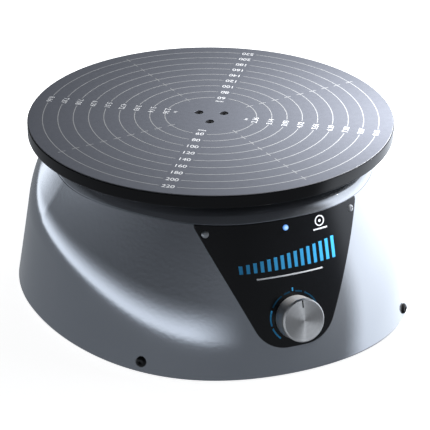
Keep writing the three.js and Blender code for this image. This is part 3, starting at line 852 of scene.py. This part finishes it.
def ring_arcs(r):
    """Start and stop angles of a ring's four arcs, which leave room for its numerals."""
    mm_gap = math.degrees((4.6 + 1.1 * (r >= 50)) / r)
    inch_gap = math.degrees(6.0 / r) * (0.75 if r < 50 else 1)
    gaps = []
    for line, gap in ((MM_LINE, mm_gap), (INCH_LINE, inch_gap)):
        for half_turn in (0, 180):
            gaps.append(((math.degrees(line) + half_turn) % 360, gap))
    gaps.sort()
    for (a, gap_a), (b, gap_b) in zip(gaps, gaps[1:] + [(gaps[0][0] + 360, gaps[0][1])]):
        yield a + gap_a, b - gap_b


def print_rings():
    verts = []
    faces = []
    for diameter in RING_DIAMETERS:
        r = diameter / 2
        for start, stop in ring_arcs(r):
            steps = max(8, int((stop - start) / 1.5))
            inner, beyond = arc_edges(0, 0, r, RING_WIDTH, start, stop, steps)
            ribbon(verts, faces, beyond, inner, on_disc, PRINT_LOW, PRINT_HIGH)
        for quarter in range(4):
            a = TICK_LINE + quarter * math.pi / 2
            along = Vector((math.cos(a), math.sin(a)))
            side = Vector((-along.y, along.x)) * RING_WIDTH / 2
            ends = [along * (r - TICK_REACH), along * (r + TICK_REACH)]
            left = [tuple(p + side) for p in ends]
            right = [tuple(p - side) for p in ends]
            ribbon(verts, faces, left, right, on_disc, PRINT_LOW, PRINT_HIGH + 0.005)
    rings = dress(mesh_object("ring_scale", verts, faces, smooth=False), GREY_INK)
    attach(rings, "turntable")


def label(name, text, line, r, size):
    """A numeral on the disc, its head towards the centre so that it reads from outside."""
    curve = bpy.data.curves.new(name, "FONT")
    curve.body = text
    curve.size = size * MM
    curve.align_x = "CENTER"
    curve.align_y = "CENTER"
    curve.offset = 0.00004
    curve.extrude = PRINT_HIGH * MM
    lettering = bpy.data.objects.new(name, curve)
    bpy.context.scene.collection.objects.link(lettering)
    place = Matrix.Translation(on_disc(r * math.cos(line), r * math.sin(line), 0.0))
    lettering.matrix_world = place @ Matrix.Rotation(line + math.pi / 2, 4, "Z")
    bpy.context.view_layer.update()
    mesh = bpy.data.meshes.new_from_object(lettering.evaluated_get(bpy.context.evaluated_depsgraph_get()))
    mesh.transform(lettering.matrix_world)
    bpy.data.objects.remove(lettering)
    piece = bpy.data.objects.new(name, mesh)
    bpy.context.scene.collection.objects.link(piece)
    return piece


def print_numerals():
    labels = []
    for half_turn in (0.0, math.pi):
        side = "a" if half_turn == 0 else "b"
        for diameter in RING_DIAMETERS:
            r = diameter / 2
            labels.append(label(f"mm_{diameter}_{side}", str(diameter), MM_LINE + half_turn, r, MM_SIZE))
            inches = f"{math.floor(diameter / MM_PER_INCH * 100) / 100:.2f}"
            labels.append(label(f"inch_{diameter}_{side}", inches, INCH_LINE + half_turn, r, INCH_SIZE))
        labels.append(label(f"mm_unit_{side}", "mm", MM_LINE + half_turn, 24.0, UNIT_SIZE))
        labels.append(label(f"inch_unit_{side}", "in", INCH_LINE + half_turn, 23.8, UNIT_SIZE))
    numerals = mesh_object("ring_numerals", [], [])
    joined = bmesh.new()
    for piece in labels:
        joined.from_mesh(piece.data)
        bpy.data.objects.remove(piece)
    joined.to_mesh(numerals.data)
    joined.free()
    dress(numerals, NUMERAL_INK)
    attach(numerals, "turntable")


# ---------- studio ----------

# plain soft light. Bearings are measured from the front, positive towards +X, and heights from level,
# all in degrees; each soft edge is (start, end).
ROOM_COLOUR = (0.86, 0.92, 1.0, 1.0)
ROOM_LIGHT = 0.28
CEILING_LIGHT = 0.03
CEILING_EDGE = (8.0, 16.0)
LEFT_BOX = {
    "strength": 2.0,
    "left": (-180.0, -160.0),
    "right": (-40.0, 0.0),
    "bottom": (-6.0, -3.0),
    "top": (-3.0, 9.0),
}
RIGHT_BOX = {
    "strength": 1.5,
    "left": (45.0, 65.0),
    "right": (135.0, 165.0),
    "bottom": (-40.0, -30.0),
    "top": (30.0, 50.0),
}
SIDE_LAMP_AT = (0.200, -0.084, 0.245)
SIDE_LAMP_AIM = (0.03, 0, 0.1)
SIDE_LAMP_SIZE = (0.09, 0.12)
SIDE_LAMP_POWER = 6.0

# camera, by its direction from the object and its place from the disc's centre, in metres
CAMERA_AZIMUTH = math.radians(-22.7)
CAMERA_ELEVATION = math.radians(26.554)
CAMERA_ROLL = math.radians(0.377)
CAMERA_PLACE = (-0.4819, -1.1603, 0.5551 + DISC_TOP * MM)
CAMERA_LENS = 175.31


def build_floor():
    verts = [Vector((x, y, 0.0)) for x, y in ((-6, -6), (6, -6), (6, 6), (-6, 6))]
    floor = mesh_object("floor", verts, [(0, 1, 2, 3)], smooth=False)
    mat, tree, shader = material("floor_white")
    grain = noise(tree, coordinates(tree), 6)
    stops = [(0.3, (0.93, 0.93, 0.93)), (0.7, (0.95, 0.95, 0.95))]
    tree.links.new(ramp(tree, grain, stops), shader.inputs["Base Color"])
    set_values(shader, Roughness=0.9, Specular_IOR_Level=0.0, Emission_Strength=0.93)
    shader.inputs["Emission Color"].default_value = (1.0, 1.0, 1.0, 1.0)
    dress(floor, mat)
    floor.visible_glossy = False
    floor.visible_diffuse = False
    floor.visible_shadow = False


def smooth_mask(tree, value, low, high):
    """0 below low, 1 above high (or the other way round), eased between."""
    node = tree.nodes.new("ShaderNodeMapRange")
    node.interpolation_type = "SMOOTHSTEP"
    flipped = low > high
    node.inputs["From Min"].default_value = min(low, high)
    node.inputs["From Max"].default_value = max(low, high)
    node.inputs["To Min"].default_value = 1.0 if flipped else 0.0
    node.inputs["To Max"].default_value = 0.0 if flipped else 1.0
    tree.links.new(value, node.inputs["Value"])
    return node.outputs["Result"]


def soft_box(tree, bearing, height, strength, left, right, bottom, top):
    """Brightness of one large soft box: full inside its four soft edges, none beyond them."""
    past_left = smooth_mask(tree, bearing, *left)
    before_right = smooth_mask(tree, bearing, *reversed(right))
    across = sum_up(tree, "MULTIPLY", past_left, before_right)
    over_bottom = smooth_mask(tree, height, *bottom)
    under_top = smooth_mask(tree, height, *reversed(top))
    upright = sum_up(tree, "MULTIPLY", over_bottom, under_top)
    return sum_up(tree, "MULTIPLY", across, upright, strength)


def build_surroundings():
    """A dim plain room, darker overhead, with a long low soft box on the left and a tall one on the right."""
    world = bpy.data.worlds.new("studio")
    bpy.context.scene.world = world
    world.use_nodes = True
    tree = world.node_tree
    background = tree.nodes["Background"]
    split = tree.nodes.new("ShaderNodeSeparateXYZ")
    tree.links.new(coordinates(tree, "Generated"), split.inputs["Vector"])
    x, y, z = (split.outputs[axis] for axis in "XYZ")
    toward = sum_up(tree, "MULTIPLY", y, -1.0)
    bearing = sum_up(tree, "MULTIPLY", sum_up(tree, "ARCTAN2", x, toward), 180 / math.pi)
    height = sum_up(tree, "MULTIPLY", sum_up(tree, "ARCSINE", z, 0.0), 180 / math.pi)
    room = span(tree, smooth_mask(tree, height, *CEILING_EDGE), ROOM_LIGHT, CEILING_LIGHT)
    boxes = [soft_box(tree, bearing, height, **box) for box in (LEFT_BOX, RIGHT_BOX)]
    tree.links.new(sum_up(tree, "ADD", room, *boxes), background.inputs["Strength"])
    background.inputs["Color"].default_value = ROOM_COLOUR


def area_light(name, at, aim, width, height, power):
    data = bpy.data.lights.new(name, "AREA")
    data.shape = "RECTANGLE"
    data.size = width
    data.size_y = height
    data.energy = power
    lamp = bpy.data.objects.new(name, data)
    lamp.location = at
    lamp.rotation_euler = (Vector(aim) - Vector(at)).to_track_quat("-Z", "Y").to_euler()
    bpy.context.scene.collection.objects.link(lamp)
    return lamp


def build_camera():
    """Long lens from the front left, 26.6 degrees above the disc."""
    azimuth = CAMERA_AZIMUTH
    elevation = CAMERA_ELEVATION
    level = math.cos(elevation)
    back = Vector((math.sin(azimuth) * level, -math.cos(azimuth) * level, math.sin(elevation)))
    right = Vector((math.cos(azimuth), math.sin(azimuth), 0.0))
    up = back.cross(right)
    turned_right = right * math.cos(CAMERA_ROLL) + up * math.sin(CAMERA_ROLL)
    turned_up = up * math.cos(CAMERA_ROLL) - right * math.sin(CAMERA_ROLL)
    data = bpy.data.cameras.new("camera")
    data.lens = CAMERA_LENS
    data.sensor_width = 36.0
    data.clip_end = 20.0
    camera = bpy.data.objects.new("camera", data)
    turned = Matrix((turned_right, turned_up, back)).transposed().to_4x4()
    camera.matrix_world = Matrix.Translation(CAMERA_PLACE) @ turned
    bpy.context.scene.collection.objects.link(camera)
    bpy.context.scene.camera = camera


def build_studio():
    build_floor()
    build_surroundings()
    side_lamp = area_light("side_lamp", SIDE_LAMP_AT, SIDE_LAMP_AIM, *SIDE_LAMP_SIZE, SIDE_LAMP_POWER)
    side_lamp.visible_camera = False
    side_lamp.visible_glossy = False
    build_camera()
    bpy.context.scene.view_settings.view_transform = "Standard"


dress_cad_nodes()
build_housing()
build_panel()
print_panel()
build_panel_screws()
build_skirt_screws()
build_lens()
build_knob()
build_disc()
print_rings()
print_numerals()
build_studio()
